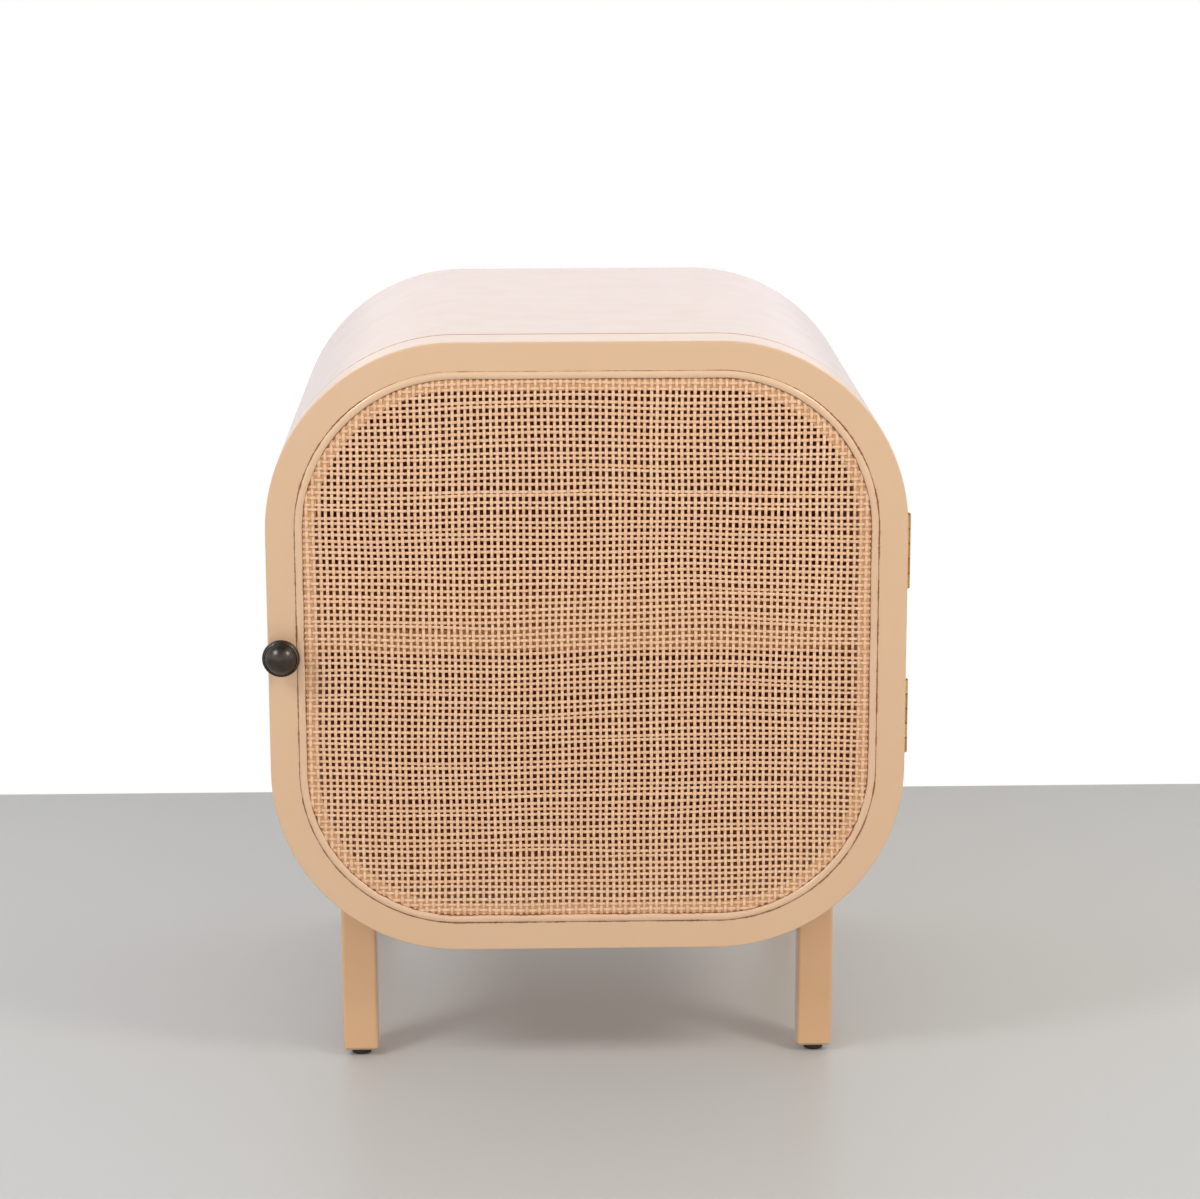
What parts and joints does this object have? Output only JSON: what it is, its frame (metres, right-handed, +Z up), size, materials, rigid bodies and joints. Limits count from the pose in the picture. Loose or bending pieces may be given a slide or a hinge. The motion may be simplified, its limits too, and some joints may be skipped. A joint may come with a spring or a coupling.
{
  "type": "storage side table with door",
  "caption": "Rounded-square storage side table on short square legs, with a shelf behind an overlay door of open-weave cane hung on butt hinges.",
  "frame": {"origin": "on the floor, at the middle of the overall footprint from the knob to the rear edge", "axes": "+X to the right seen from the front, +Y to the rear, +Z up; the door faces -Y"},
  "size_m": [0.4489, 0.423, 0.5275],
  "materials": {
    "painted_wood": "satin peach paint",
    "inner_board": "warm brown stain under a thin satin lacquer",
    "cane": "natural rattan skin",
    "reed": "painted reed",
    "brass": "polished",
    "bronze": "dark oil-rubbed",
    "steel": "zinc plated",
    "plastic": "matte dark",
    "magnet": "dull"
  },
  "bodies": {
    "cabinet": {"case_shell": "painted_wood", "back_panel": "inner_board", "back_panel_screws": "steel", "shelf": "inner_board", "shelf_pins": "brass", "leg_front_left": "painted_wood", "leg_front_right": "painted_wood", "leg_rear_left": "painted_wood", "leg_rear_right": "painted_wood", "leg_screws": "steel", "foot_glides": "plastic", "glide_nails": "steel", "hinge_upper_case_leaf": "brass", "hinge_lower_case_leaf": "brass", "hinge_upper_pin": "brass", "hinge_lower_pin": "brass", "hinge_case_screws": "brass", "catch_housing": "plastic", "catch_magnet": "magnet", "catch_screws": "steel"},
    "door": {"door_frame": "painted_wood", "cane_uprights": "cane", "cane_crosswise": "cane", "cane_spline": "reed", "knob": "bronze", "knob_screw": "steel", "hinge_upper_door_leaf": "brass", "hinge_lower_door_leaf": "brass", "hinge_door_screws": "brass", "strike_plate": "steel", "strike_screw": "steel"}
  },
  "joints": [
    {"name": "door_hinge", "type": "hinge", "parent": "cabinet", "child": "door", "pos_m": [0.223, -0.151, 0.3125], "axis": [0, 0, 1], "range_deg": [0, 180]}
  ]
}
